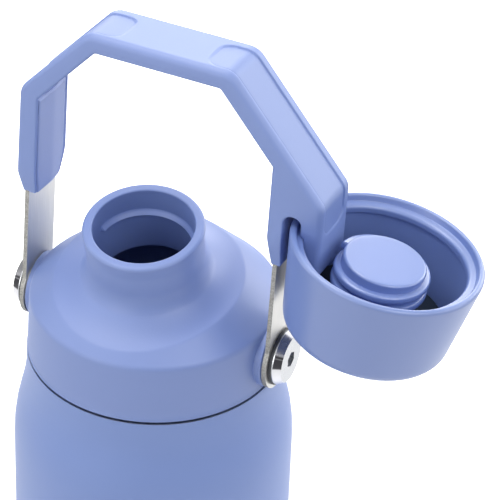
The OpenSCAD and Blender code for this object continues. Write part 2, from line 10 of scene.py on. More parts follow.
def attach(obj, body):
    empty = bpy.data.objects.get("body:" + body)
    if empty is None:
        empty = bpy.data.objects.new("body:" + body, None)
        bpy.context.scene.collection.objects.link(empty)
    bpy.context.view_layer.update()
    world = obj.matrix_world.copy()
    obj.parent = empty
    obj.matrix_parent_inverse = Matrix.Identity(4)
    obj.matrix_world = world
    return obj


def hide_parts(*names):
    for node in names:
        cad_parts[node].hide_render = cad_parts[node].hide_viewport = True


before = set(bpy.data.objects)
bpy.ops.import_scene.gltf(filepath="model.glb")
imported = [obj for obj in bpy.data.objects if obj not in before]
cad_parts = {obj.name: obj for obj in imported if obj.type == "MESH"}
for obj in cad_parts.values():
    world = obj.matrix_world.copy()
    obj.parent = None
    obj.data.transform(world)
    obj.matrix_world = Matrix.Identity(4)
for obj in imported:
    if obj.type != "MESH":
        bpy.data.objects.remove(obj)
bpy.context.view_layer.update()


# Outer shell of the bottle: a drawn stainless wall with a soft shoulder,
# powder coated in a muted periwinkle, with a fine orange peel in the coat.
# Its lip meets the liner's neck flange under the lid.
def soft_path(corners, step=1.5, closed=False, arc_step=0.14):
    """Path through corners (a, b, radius, carried values): each corner becomes an arc
    tangent to its two sides, and every run is cut into steps no longer than step."""
    c = np.array(corners, float)
    n, last = len(c), len(c) - 1
    run = []
    for i in range(n):
        if c[i, 2] <= 0 or (not closed and i in (0, last)):
            run.append(np.delete(c[i], 2)[None])
            continue
        here, before, after = c[i, :2], c[i - 1, :2], c[(i + 1) % n, :2]
        u, v = before - here, after - here
        u, v = u / np.linalg.norm(u), v / np.linalg.norm(v)
        half = np.arccos(np.clip(u @ v, -1, 1)) / 2
        middle = here + (u + v) / np.linalg.norm(u + v) * c[i, 2] / np.sin(half)
        ends = here + np.stack([u, v]) * c[i, 2] / np.tan(half) - middle
        start, stop = np.arctan2(ends[:, 1], ends[:, 0])
        turn = (stop - start + np.pi) % (2 * np.pi) - np.pi
        a = start + turn * np.linspace(0, 1, int(abs(turn) / arc_step) + 3)
        arc = middle + c[i, 2] * np.stack([np.cos(a), np.sin(a)], 1)
        run.append(np.hstack([arc, np.repeat(c[i, 3:][None], len(a), 0)]))
    p = np.concatenate(run + ([run[0][:1]] if closed else []))
    length = np.linalg.norm(np.diff(p[:, :2], axis=0), axis=1)
    cuts = np.maximum(1, np.ceil(length / step)).astype(int)
    at = [k + np.arange(m) / m for k, m in enumerate(cuts)]
    at = np.concatenate(at + ([] if closed else [[len(cuts)]]))
    return np.stack([np.interp(at, np.arange(len(p)), column) for column in p.T], 1)


def lathe(profile, around=160):
    """Turns (radius, height) points about the Z axis: point = (r cos a, r sin a, z)."""
    a = np.linspace(0, 2 * np.pi, around, endpoint=False)[:, None]
    r, z = profile[None, :, 0], profile[None, :, 1]
    return np.stack([r * np.cos(a), r * np.sin(a), z + 0 * a], 2)


def skin(name, patches, fills=(), crisp=35):
    """One mesh in metres from grids of points in millimetres. A patch is (points[u, v],
    closed in u, closed in v) and neighbours in the grid are joined by quads; a fill is
    (points, faces). Meeting points are merged, faces are turned outwards, and edges
    sharper than crisp degrees stay crisp."""
    points, faces, count = [], [], 0
    for grid, round_u, round_v in patches:
        n, m = grid.shape[:2]
        index = count + np.arange(n * m).reshape(n, m)
        index = np.vstack([index, index[:1]]) if round_u else index
        index = np.hstack([index, index[:, :1]]) if round_v else index
        quads = np.stack([index[:-1, :-1], index[1:, :-1], index[1:, 1:], index[:-1, 1:]], 2)
        points.append(grid.reshape(-1, 3))
        faces += quads.reshape(-1, 4).tolist()
        count += n * m
    for place, shares in fills:
        points.append(place)
        faces += (count + np.array(shares)).tolist()
        count += len(place)
    mesh = bpy.data.meshes.new(name)
    mesh.from_pydata((np.concatenate(points) * 0.001).tolist(), [], faces)
    work = bmesh.new()
    work.from_mesh(mesh)
    bmesh.ops.remove_doubles(work, verts=work.verts, dist=2e-6)
    bmesh.ops.dissolve_degenerate(work, edges=work.edges, dist=1e-7)
    bmesh.ops.recalc_face_normals(work, faces=work.faces)
    work.to_mesh(mesh)
    work.free()
    mesh.shade_smooth()
    mesh.set_sharp_from_angle(angle=math.radians(crisp))
    piece = bpy.data.objects.new(name, mesh)
    bpy.context.scene.collection.objects.link(piece)
    return piece


def tone(red, green, blue):
    """A colour written as 0 to 255 screen values, turned to linear light."""
    c = np.array([red, green, blue]) / 255
    linear = np.where(c <= 0.04045, c / 12.92, ((c + 0.055) / 1.055) ** 2.4)
    return (*linear.tolist(), 1.0)


def group_socket(group, name, way, kind="Float", start=None):
    """Adds a named input or output to a node group, with its starting value."""
    socket = group.interface.new_socket(name, in_out=way, socket_type="NodeSocket" + kind)
    if start is not None:
        socket.default_value = start


def fine_grain_group():
    """Height: fine noise of the given grain per metre. Drift: a broad, slow noise from
    0 to 1 that varies colour and roughness a little over a piece."""
    group = bpy.data.node_groups.new("fine_grain", "ShaderNodeTree")
    group_socket(group, "Grain", "INPUT", start=2500)
    group_socket(group, "Spread", "INPUT", start=18)
    group_socket(group, "Height", "OUTPUT")
    group_socket(group, "Drift", "OUTPUT")
    nodes, links = group.nodes, group.links
    start, end = nodes.new("NodeGroupInput"), nodes.new("NodeGroupOutput")
    place = nodes.new("ShaderNodeTexCoord")
    for socket, scale, detail in (("Height", "Grain", 2.0), ("Drift", "Spread", 3.0)):
        noise = nodes.new("ShaderNodeTexNoise")
        noise.inputs["Detail"].default_value = detail
        links.new(place.outputs["Object"], noise.inputs["Vector"])
        links.new(start.outputs[scale], noise.inputs["Scale"])
        links.new(noise.outputs["Fac"], end.inputs[socket])
    return group


fine_grain = fine_grain_group()


def finished(name, group, values, shade, light, rough, depth, tint_by, bump_by):
    """Material on a node group: one output mixes the colour between two close shades, its
    slow drift moves the roughness between two values, and one output is the bump's height
    over the given depth in metres."""
    material = bpy.data.materials.new(name)
    material.use_nodes = True
    nodes, links = material.node_tree.nodes, material.node_tree.links
    shader = nodes["Principled BSDF"]
    surface = nodes.new("ShaderNodeGroup")
    surface.node_tree = group
    for socket, value in values.items():
        surface.inputs[socket].default_value = value
    colour = nodes.new("ShaderNodeMix")
    colour.data_type = "RGBA"
    colour.inputs["A"].default_value = tone(*shade)
    colour.inputs["B"].default_value = tone(*light)
    links.new(surface.outputs[tint_by], colour.inputs["Factor"])
    links.new(colour.outputs["Result"], shader.inputs["Base Color"])
    level = nodes.new("ShaderNodeMapRange")
    level.inputs["To Min"].default_value, level.inputs["To Max"].default_value = rough
    links.new(surface.outputs["Drift"], level.inputs["Value"])
    links.new(level.outputs["Result"], shader.inputs["Roughness"])
    bump = nodes.new("ShaderNodeBump")
    bump.inputs["Distance"].default_value = depth
    links.new(surface.outputs[bump_by], bump.inputs["Height"])
    links.new(bump.outputs["Normal"], shader.inputs["Normal"])
    return material


def grained(name, shade, light, rough, grain, depth, **fixed):
    """Material with a fine grain per metre and a slow drift of its colour; the fixed
    values go straight on the shader."""
    material = finished(name, fine_grain, {"Grain": grain}, shade, light, rough, depth, "Drift", "Height")
    shader = material.node_tree.nodes["Principled BSDF"]
    for socket, value in fixed.items():
        shader.inputs[socket.replace("_", " ")].default_value = value
    return material


def fit(piece, material, body, slot, *nodes):
    """Gives a new piece its material and its body, and hides the solids it stands for. The slot is not used."""
    piece.data.materials.append(material)
    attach(piece, body)
    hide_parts(*nodes)


def dress(material, *nodes):
    """Puts a material on solids that are shown as they are."""
    for node in nodes:
        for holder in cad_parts[node].material_slots:
            holder.material = material


body_r, neck_r, base_r, steel = 48.0, 43.2, 41.6, 0.8
foot_z, lip_z, coat_end_z = 0.4, 254.9, 254.15
shell_profile = soft_path([
    (base_r, foot_z, 0), (body_r, foot_z, 6), (body_r, 227.05, 67), (neck_r, 245.15, 67),
    (neck_r + 0.1, lip_z, 0.05), (neck_r + 0.02, lip_z, 0.02), (neck_r + 0.02, coat_end_z, 0),
    (neck_r - steel, coat_end_z, 0.2), (neck_r - steel, 245.2, 60), (body_r - steel, 227.1, 60),
    (body_r - steel, foot_z + steel, 5.2), (base_r, foot_z + steel, 0)], step=3, closed=True)
powder_coat = grained("powder_coat", (122, 145, 202), (126, 149, 206), (0.40, 0.46), 1500, 0.00002)
outer_shell = skin("outer_shell_coated", [(lathe(shell_profile, 256), True, True)])
fit(outer_shell, powder_coat, "bottle", "powder_coat", "outer_shell")


# Base of the bottle: a steel disc closes the shell, a glass bead seals its port,
# and a coated cover disc is bonded over both.
seal_glass = grained("seal_glass", (52, 58, 66), (66, 72, 80), (0.12, 0.2), 900, 0.00001)
base_coat = grained("base_coat", (111, 134, 190), (117, 140, 196), (0.45, 0.55), 1500, 0.00003)
dress(base_coat, "base_cover")
dress(seal_glass, "vacuum_seal_bead")


# Liner: spun stainless wall, dished bottom, the outer base disc and the getter pellet
# between the walls. The inside is left with the fine lines of its polish.
def drawn_lines_group():
    """Lines: noise stretched by the given scale along the three axes, so it runs in
    streaks. Drift: a broad slow noise from 0 to 1."""
    group = bpy.data.node_groups.new("drawn_lines", "ShaderNodeTree")
    group_socket(group, "Across", "INPUT", "Vector", (600, 600, 8))
    group_socket(group, "Lines", "OUTPUT")
    group_socket(group, "Drift", "OUTPUT")
    nodes, links = group.nodes, group.links
    start, end = nodes.new("NodeGroupInput"), nodes.new("NodeGroupOutput")
    place, stretch = nodes.new("ShaderNodeTexCoord"), nodes.new("ShaderNodeMapping")
    links.new(place.outputs["Object"], stretch.inputs["Vector"])
    links.new(start.outputs["Across"], stretch.inputs["Scale"])
    streak, slow = nodes.new("ShaderNodeTexNoise"), nodes.new("ShaderNodeTexNoise")
    streak.inputs["Scale"].default_value, streak.inputs["Detail"].default_value = 3.0, 3.0
    slow.inputs["Scale"].default_value = 60.0
    links.new(stretch.outputs["Vector"], streak.inputs["Vector"])
    links.new(place.outputs["Object"], slow.inputs["Vector"])
    links.new(streak.outputs["Fac"], end.inputs["Lines"])
    links.new(slow.outputs["Fac"], end.inputs["Drift"])
    return group


drawn_lines = drawn_lines_group()


def lined_steel(name, shade, light, rough, across, depth):
    """Steel whose streaks vary its colour and bump."""
    material = finished(name, drawn_lines, {"Across": across}, shade, light, rough, depth, "Lines", "Lines")
    material.node_tree.nodes["Principled BSDF"].inputs["Metallic"].default_value = 1.0
    return material


liner_steel = lined_steel(
    "liner_steel", (176, 179, 184), (206, 209, 213), (0.24, 0.34), (40, 40, 2500), 0.000006)
getter_metal = grained(
    "getter_metal", (120, 122, 126), (146, 148, 152), (0.6, 0.75), 4000, 0.00004, Metallic=1.0)
dress(liner_steel, "inner_liner", "inner_base", "outer_base")
dress(getter_metal, "getter_pellet")


# Lid: the gasket ring under the flange and the threaded core that screws into the neck.
# The core is welded into the collar from below.
seal_rubber = grained(
    "seal_rubber", (26, 37, 53), (32, 44, 61), (0.6, 0.72), 1800, 0.00002, Specular_IOR_Level=0.25)
core_plastic = grained("core_plastic", (107, 129, 184), (113, 135, 190), (0.45, 0.55), 1400, 0.00002)
dress(seal_rubber, "lid_gasket")
dress(core_plastic, "lid_core")


# Lid collar: one moulding with a drafted wall, a coned top, a shallow landing and the
# tilted pouring spout with its inner thread. Round bosses carry the handle's pivots.
spout_tilt, spout_root, pivot_z = math.radians(9.6), 251.2, 266.2


def spout_place(p):
    """Spout frame to row frame: tilted to the front about a point on the bottle's axis."""
    c, s = math.cos(spout_tilt), math.sin(spout_tilt)
    x, y, z = p[..., 0], p[..., 1], p[..., 2]
    return np.stack([x, y * c - z * s, spout_root + y * s + z * c], -1)


def along_x(p):
    """Turned shape to one that lies along +X at the pivots' height."""
    return np.stack([p[..., 2], p[..., 1], pivot_z - p[..., 0]], -1)


def ridge_line(section, start, turns, low, pitch, blunt=4):
    """Helical ridge: the section (radius, height) is carried up a helix from angle start.
    Over the last blunt degrees its ends are drawn in to the radius of its first point,
    so that they close roundly."""
    t = np.linspace(0, 1, int(turns * 96) + 1)
    ease = np.clip(np.minimum(t, 1 - t) * turns * 360 / blunt, 0, 1)
    ease = np.sqrt(1 - (1 - ease) ** 2)[:, None]
    a = np.radians(start + 360 * turns * t)[:, None]
    root = section[0, 0]
    r = root + (section[None, :, 0] - root) * ease
    height = section[None, :, 1] * (0.35 + 0.65 * ease) * (ease > 0)
    return np.stack([r * np.cos(a), r * np.sin(a), height + low + pitch * turns * t[:, None]], 2)


def moulded(name, shade, light, rough, grain=1400, depth=0.00002):
    """Moulded plastic: a fine grain under a clear sheen."""
    return grained(name, shade, light, rough, grain, depth, Specular_IOR_Level=1.0)


skirt_z, shoulder_r, shoulder_z, dome_slope = 255.9, 42.3, 277.2, math.tan(math.radians(44))
land_r, land_z, land_slope, land_dip = 24.3, 39.6, math.tan(math.radians(24.5)), 0.28
foot_r, bore_r, rim_z = 22.2, 16.9, 60.1
around = np.linspace(0, 2 * np.pi, 240, endpoint=False)[:, None]


def dome_at(r):
    """Height of the collar's coned top at distance r from the bottle's axis."""
    return shoulder_z + (shoulder_r - r) * dome_slope


def round_spout(r, z):
    """Points at radius r and height z about the spout's axis, for every angle."""
    return spout_place(np.stack([r * np.cos(around), r * np.sin(around), z + 0 * around], -1))


def landing_z(r):
    """Height of the landing cone at distance r from the spout's axis."""
    return land_z - (r - land_r) * land_slope


low_r, high_r = np.full_like(around, 24.4), np.full_like(around, 46.0)
for _ in range(40):  # halve the range in which the landing leaves the cone of the dome
    r = (low_r + high_r) / 2
    p = round_spout(r, landing_z(r))
    inside = p[..., 2] < dome_at(np.hypot(p[..., 0], p[..., 1]))
    low_r, high_r = np.where(inside, r, low_r), np.where(inside, high_r, r)
ridge_r = low_r
ridge = round_spout(ridge_r, landing_z(ridge_r))[:, 0]
turn_at = np.arctan2(ridge[:, 1], ridge[:, 0])[:, None]
dome_r = np.hypot(ridge[:, 0], ridge[:, 1])[:, None]


def round_axis(r, z):
    """Points at radius r and height z about the bottle's axis, at each ridge point's angle."""
    r, z = np.broadcast_arrays(r + 0 * turn_at, z + 0 * turn_at)
    return np.stack([r * np.cos(turn_at), r * np.sin(turn_at), z], -1)


wall = soft_path([
    (43.1, skirt_z, 0), (shoulder_r, shoulder_z, 3.4), (shoulder_r - 6, dome_at(shoulder_r - 6), 0)], step=2.5)
wall = wall[wall[:, 1] < shoulder_z + 2.2]
foot_bead = [[42.9, skirt_z], [43.2, 256.0], [43.28, 256.12], [43.24, 256.3], [43.08, 256.6]]
wall = np.vstack([foot_bead, wall[1:]])
edge_r = wall[-1, 0]
dome_line = edge_r + (dome_r + 0.6 - edge_r) * np.linspace(0, 1, 9)[None, 1:]
dome = round_axis(dome_line, dome_at(dome_line))
land_line = ridge_r - 0.7 + (foot_r - ridge_r + 0.7) * np.linspace(0, 1, 14)[None]
hollow = land_dip * (land_line - foot_r) * (ridge_r - land_line) / (ridge_r - foot_r)
land = round_spout(land_line, landing_z(land_line) - hollow)
t = np.linspace(0, 1, 7)[None, 1:-1, None]
rounded = (1 - t) ** 2 * dome[:, -1:] + 2 * t * (1 - t) * ridge[:, None] + t**2 * land[:, :1]
fillet, fillet_r, fillet_z = 10.45, 30.05, 47.46
t = np.radians(np.linspace(41.3, 0, 22)[1:])
foot = np.stack([fillet_r - fillet * np.cos(t), fillet_z - fillet * np.sin(t)], 1)
spout_line = np.vstack([foot, soft_path([
    (19.6, 47.7, 0), (19.6, 54.5, 14), (20.35, rim_z, 1.1), (bore_r, rim_z, 0.5), (bore_r, 34.1, 0.6),
    (19.3, 34.1, 0.6), (19.3, 38.4, 0)], step=1.2, arc_step=0.1)])
spout = round_spout(spout_line[None, :, 0], spout_line[None, :, 1])
ceiling = round_axis(dome_r - 2.2, ridge[:, 2:] - 3.4)
under = np.concatenate([
    round_axis(r, z) for r, z in ((39.1, 275.6), (39.1, 257.9), (40.55, 257.9), (40.55, skirt_z))], 1)
collar = np.concatenate([
    round_axis(wall[None, :, 0], wall[None, :, 1]), dome, rounded, land, spout, ceiling, under], 1)
boss = along_x(lathe(soft_path([
    (0, 33.4, 0), (7.5, 33.4, 0), (7.5, 37.1, 0), (11.2, 37.1, 0), (11.2, 43.9, 0.5), (4.55, 43.9, 0),
    (4.55, 34.9, 0), (0, 34.9, 0)]), 96))
boss[..., 2] = np.maximum(boss[..., 2], 256.0)
thread_pitch, thread_turns, thread_end, thread_drop = 4.2, 0.75, 178, 9.15
flank = soft_path([
    (17.4, -0.95, 0), (15.65, -0.75, 0.2), (15.65, -0.4, 0.25), (16.6, 0.8, 2.0), (17.3, 2.2, 0.8),
    (17.4, 2.3, 0)], step=0.3)
spout_thread = spout_place(ridge_line(
    flank, thread_end - 360 * thread_turns, thread_turns, rim_z - thread_drop - thread_pitch * thread_turns,
    thread_pitch))
collar_plastic = moulded("collar_plastic", (113, 135, 193), (118, 140, 198), (0.44, 0.52))
lid_collar = skin("lid_collar_moulding", [
    (collar, True, True), (boss, True, False), (boss * (-1, 1, 1), True, False), (spout_thread, False, True)])
fit(lid_collar, collar_plastic, "lid", "moulded_plastic", "lid_collar")


# Pivots: brass inserts in the bosses, turned shoulder screws with a hex socket, and the
# washers and bushes that the straps turn on.
def worked(tree, operation, *terms):
    """Output of a new Math node, whose inputs are sockets or plain numbers."""
    node = tree.nodes.new("ShaderNodeMath")
    node.operation = operation
    for socket, term in zip(node.inputs, terms):
        if isinstance(term, float):
            socket.default_value = term
        else:
            tree.links.new(term, socket)
    return node.outputs["Value"]


def spread(tree, value, before, after):
    """Output of a new Map Range node that takes one range of a value to another."""
    node = tree.nodes.new("ShaderNodeMapRange")
    node.inputs["From Min"].default_value, node.inputs["From Max"].default_value = before
    node.inputs["To Min"].default_value, node.inputs["To Max"].default_value = after
    tree.links.new(value, node.inputs["Value"])
    return node


def ramp(tree, value, stops):
    """Colour output of a new ramp over a value, with stops (position, colour)."""
    node = tree.nodes.new("ShaderNodeValToRGB")
    tree.links.new(value, node.inputs["Fac"])
    for position, colour in stops:
        node.color_ramp.elements.new(position).color = colour
    for end in (-1, 0):
        node.color_ramp.elements.remove(node.color_ramp.elements[end])
    return node.outputs["Color"]


def facing_x(tree, place):
    """How far the surface looks along X: the size of the X part of its normal."""
    part = tree.nodes.new("ShaderNodeSeparateXYZ")
    tree.links.new(place.outputs["Normal"], part.inputs["Vector"])
    return worked(tree, "ABSOLUTE", part.outputs["X"])


def lay_over(tree, socket, mask, top, kind="RGBA"):
    """Mixes what already feeds a shader socket with a new colour or value, by a mask."""
    mix = tree.nodes.new("ShaderNodeMix")
    mix.data_type = kind
    tree.links.new(mask, mix.inputs["Factor"])
    tree.links.new(socket.links[0].from_socket, mix.inputs["A"])
    if isinstance(top, float):
        mix.inputs["B"].default_value = top
    else:
        tree.links.new(top, mix.inputs["B"])
    tree.links.new(mix.outputs["Result"], socket)


def turned_steel_painted_reflections():
    """Bright turned steel with painted reflections on its cone-shaped edges. Broad light and dark streaks are
    painted in for reflections of the surroundings. They run out from the pivot's axis as a ramp over the angle
    round the axis, masked to the normals between along X and square to it."""
    material = lined_steel(
        "turned_steel", (170, 172, 176), (206, 208, 211), (0.22, 0.34), (300, 900, 900), 0.000004)
    tree = material.node_tree
    place, spot = tree.nodes.new("ShaderNodeTexCoord"), tree.nodes.new("ShaderNodeSeparateXYZ")
    none, full = (0, 0, 0, 1), (1, 1, 1, 1)
    mask = ramp(tree, facing_x(tree, place), ((0.12, none), (0.3, full), (0.88, full), (0.97, none)))
    tree.links.new(place.outputs["Object"], spot.inputs["Vector"])
    ahead = worked(tree, "MULTIPLY", spot.outputs["Y"], -1.0)
    above = worked(tree, "SUBTRACT", spot.outputs["Z"], pivot_z / 1000)
    angle = worked(tree, "ARCTAN2", ahead, above)
    turn = spread(tree, angle, (-math.pi, math.pi), (0, 1)).outputs["Result"]
    # painted reflections: the grey of each streak is set by its angle round the pivot, light and dark in place
    # of reflections of the surroundings
    streaks = (
        (-179, 205), (-120, 70), (-100, 200), (-60, 128), (50, 136), (53, 56), (56.5, 60), (58, 128),
        (60, 62), (80, 76), (83, 214), (110, 226), (150, 235), (179, 205))
    streak = ramp(tree, turn, [(degrees / 360 + 0.5, tone(grey, grey, grey + 4)) for degrees, grey in streaks])
    lay_over(tree, tree.nodes["Principled BSDF"].inputs["Base Color"], mask, streak)
    return material


brass = grained("brass", (176, 142, 74), (198, 164, 92), (0.3, 0.42), 3000, 0.00001, Metallic=1.0)
turned_steel = turned_steel_painted_reflections()
washer_plastic = grained("washer_plastic", (34, 36, 42), (46, 48, 54), (0.4, 0.5), 2200, 0.00001)
dress(brass, "threaded_inserts")
dress(turned_steel, "pivot_screws")
dress(washer_plastic, "pivot_washers", "pivot_bushes")
dress(liner_steel, "friction_washers")


# Straps: stainless strips with a satin face that carry the grip on the two pivots.
# They run up inside the legs of the grip and are held there by rivets.
def strap_finish():
    """Satin steel on the two faces, which look along X, and a darker grainy finish on the
    sheared edges, which don't: the mask falls as the normal's X part grows."""
    material = lined_steel(
        "strap_steel", (188, 188, 187), (218, 217, 214), (0.36, 0.46), (1800, 1800, 40), 0.000006)
    tree = material.node_tree
    shader = tree.nodes["Principled BSDF"]
    place, speck = tree.nodes.new("ShaderNodeTexCoord"), tree.nodes.new("ShaderNodeTexNoise")
    mask = spread(tree, facing_x(tree, place), (0.35, 0.8), (1.0, 0.0)).outputs["Result"]
    speck.inputs["Scale"].default_value, speck.inputs["Detail"].default_value = 1500.0, 3.0
    tree.links.new(place.outputs["Object"], speck.inputs["Vector"])
    sheared = tree.nodes.new("ShaderNodeMix")
    sheared.data_type = "RGBA"
    sheared.inputs["A"].default_value, sheared.inputs["B"].default_value = tone(96, 96, 94), tone(196, 195, 190)
    tree.links.new(speck.outputs["Fac"], sheared.inputs["Factor"])
    lay_over(tree, shader.inputs["Base Color"], mask, sheared.outputs["Result"])
    lay_over(tree, shader.inputs["Roughness"], mask, 0.62, "FLOAT")
    return material


strap_steel = strap_finish()
dress(strap_steel, "strap_left", "strap_right", "strap_rivets")


# Grip: a moulded loop with a flat top, sloping sides and rounded outer edges. Its right
# leg splits into a slot and a tongue, on which the cap's rim hangs.
handle_lean, half_depth, back_depth = math.radians(5), 10.75, 11.55
leg_in, leg_out, leg_end, top_in, top_out = 41.9, 48.6, 40.0, 98.5, 104.9
slot_in, slot_top, slot_out = 47.05, 60.2, 53.45
tongue_in, tongue_out, tongue_end, tongue_round = 54.65, 60.3, 39.4, 27.4


def handle_place(p):
    """Handle frame (across, to the back, up the legs) to row frame: leant back about the
    pivots."""
    c, s = math.cos(handle_lean), math.sin(handle_lean)
    x, v, w = p[..., 0], p[..., 1], p[..., 2]
    return np.stack([x, v * c + w * s, pivot_z - v * s + w * c], -1)


def inward(path):
    """Unit normals of a closed path, turned to its inside."""
    d = np.roll(path, -1, 0) - np.roll(path, 1, 0)
    d /= np.linalg.norm(d, axis=1)[:, None]
    area = np.sum(path[:, 0] * np.roll(path[:, 1], -1) - path[:, 1] * np.roll(path[:, 0], -1))
    return np.stack([-d[:, 1], d[:, 0]], 1) * np.sign(area)


def face_of(loop, gap):
    """Triangles that fill a closed loop, with even points inside it so that the face can
    follow a bend: the points are those of a square net that lie well inside the loop."""
    lo, hi = loop.min(0), loop.max(0)
    net = np.stack(np.meshgrid(np.arange(lo[0], hi[0], gap), np.arange(lo[1], hi[1], gap)), -1).reshape(-1, 2)
    a, b = loop, np.roll(loop, -1, 0)
    x, y = net[:, :1], net[:, 1:]
    over = (a[None, :, 1] > y) != (b[None, :, 1] > y)
    rise = np.where(b[:, 1] == a[:, 1], 1e-9, b[:, 1] - a[:, 1])
    left = x < a[None, :, 0] + (y - a[None, :, 1]) * (b[:, 0] - a[:, 0]) / rise
    odd = np.sum(over & left, 1) % 2 == 1
    far = np.min(np.hypot(x - a[None, :, 0], y - a[None, :, 1]), 1) > 0.5 * gap
    places = np.vstack([loop, net[odd & far]])
    here = np.arange(len(loop))
    sides = np.stack([here, np.roll(here, -1)], 1).tolist()
    out = delaunay_2d_cdt(places.tolist(), sides, [], 1, 1e-6)
    return np.array(out[0]), out[2]


grip_path = soft_path([
    (-46.5, leg_end, 0.8, 0.7), (-leg_out, 47, 4, 1.0), (-leg_out, 78.9, 7, 1.4), (-25.45, top_out, 7, 2.3),
    (25.45, top_out, 7, 2.3), (tongue_out, 65.6, 5, 2.3), (tongue_out, tongue_end, 2, 1.6),
    (tongue_in, tongue_end, 0.8, 0.5), (tongue_in, 53.6, 0.5, 0.4), (slot_out, 54.6, 0.5, 0.4),
    (slot_out, slot_top, 3, 0.6), (slot_in, slot_top, 3, 0.6), (slot_in, leg_end, 0.8, 0.6),
    (43.75, leg_end, 0.8, 0.6), (leg_in, 50, 6, 0.8), (leg_in, 76.1, 1.5, 0.9), (22.05, top_in, 1.5, 0.9),
    (-22.3, top_in, 1.5, 0.9), (-leg_in, 76.4, 1.5, 0.9), (-leg_in, leg_end, 0.8, 0.6)],
    step=0.6, closed=True)
grip_line, edge = grip_path[:, :2], grip_path[:, 2:]
grip_in = inward(grip_line)
grip_run = np.concatenate([[0], np.cumsum(np.linalg.norm(np.diff(grip_line, axis=0), axis=1))])


def run_at(x, w):
    """Distance along the grip's outline of its point nearest to (x, w)."""
    return grip_run[np.argmin(np.hypot(grip_line[:, 0] - x, grip_line[:, 1] - w))]


pad_half, pad_round, pad_fit = 7.85, 4.5, 0.15
pads = {"left": (run_at(-leg_out, 67.4), run_at(-14.95, top_out)),
        "right": (run_at(14.95, top_out), run_at(tongue_out, 54.4))}


def pad_depth(run, v, start, stop):
    """How far inside a rounded rectangle a point (run, v) lies, from its signed distance."""
    along = np.abs(run - (start + stop) / 2) - (stop - start) / 2 + pad_round
    q = np.stack([along, np.abs(v) - pad_half + pad_round + 0 * run], -1)
    return pad_round - np.hypot(*np.moveaxis(np.maximum(q, 0), -1, 0)) - np.minimum(np.max(q, -1), 0)


def pad_sink(v):
    """Depth of the pads below the outer face: shallow in front, deeper at the back."""
    return 0.12 + 0.36 * np.clip((v + pad_half) / (2 * pad_half), 0, 1)


def leg_taper(w):
    """How far a leg has drawn in at height w: 0 above its foot, and 1 at its end."""
    return np.clip((49 - w) / 9, 0, 1) ** 1.3


def grip_bend(p):
    """Takes in the lower ends of the legs towards the straps, and bulges the tongue's
    inner face to a cylinder about the hung cap's middle."""
    x, v, w = p[..., 0], p[..., 1], p[..., 2]
    v = v * (1 - leg_taper(w) * (x < slot_in + 0.35) * (1 - np.where(v < 0, 9.4, 6.8) / half_depth))
    inner = (x > 53) & (x < 54.9) & (w < 58)
    across = np.minimum(np.abs(v), half_depth)
    bulge = np.sqrt(tongue_round**2 - across**2) - math.sqrt(tongue_round**2 - half_depth**2)
    return np.stack([x - bulge * inner, v, w], -1)


def grip_place(line, v):
    """Points of the grip's outline (across, up) at depth v, bent and put in their place."""
    return handle_place(grip_bend(np.stack([line[..., 0], v, line[..., 1]], -1)))


back_edge = np.minimum(edge, 1.2)
rows = np.array([0, 1.5, 3, 3.9, 4.6, 5.2, 5.8, 6.3, 6.8, 7.2, 7.5, 7.7, 7.82, 7.92, 8.05])[None] + 0 * edge
front_v = -np.hstack([rows, half_depth - edge - 0.15, half_depth - edge])[:, ::-1]
back_v = np.hstack([
    rows[:, 1:], rows[:, -1:] + 0.7, rows[:, -1:] + 1.5, back_depth - back_edge - 0.15, back_depth - back_edge])
flat_v = np.hstack([front_v, back_v])
sunk = np.zeros_like(flat_v)
for start, stop in pads.values():
    within = pad_depth(grip_run[:, None] + 0 * flat_v, flat_v, start, stop)
    sunk += (pad_sink(flat_v) + 0.08) * np.clip(0.5 + within / 0.25, 0, 1)
panel = (np.abs(np.abs(grip_line[:, :1]) - leg_in) < 0.05) & (grip_line[:, 1:] < 75.6)
sunk += 0.7 * panel * (np.abs(flat_v) < 9.75)
bend = np.radians(np.linspace(0, 90, 7))[None, 1:]
front_in, front_round = edge * (1 - np.cos(bend)), -(half_depth - edge + edge * np.sin(bend))
back_in, back_round = back_edge * (1 - np.cos(bend)), back_depth - back_edge + back_edge * np.sin(bend)
depth_in = np.hstack([front_in[:, ::-1], sunk, back_in])
depth_v = np.hstack([front_round[:, ::-1], flat_v, back_round])
grip_grid = grip_place(grip_line[:, None] + grip_in[:, None] * depth_in[..., None], depth_v)
faces = []
for side, round_off in ((-half_depth, edge), (back_depth, back_edge)):
    places, triangles = face_of(grip_line + grip_in * round_off, 2.0)
    faces.append((grip_place(places, np.full(len(places), side)), triangles))
grip_plastic = moulded("grip_plastic", (117, 139, 197), (122, 144, 202), (0.46, 0.54))
handle_grip = skin("handle_grip_moulding", [(grip_grid, True, False)], faces)
fit(handle_grip, grip_plastic, "handle", "moulded_plastic", "handle_grip")


# Grip pads: soft pads moulded into shallow pockets in the outer face of the grip, one
# over each bend. They lie a little below the face, deeper at the back than in front.
def closed_ends(grid):
    """Flat faces that close the first and the last section of a grid."""
    return [(grid[k], [list(range(grid.shape[1]))]) for k in (0, -1)]


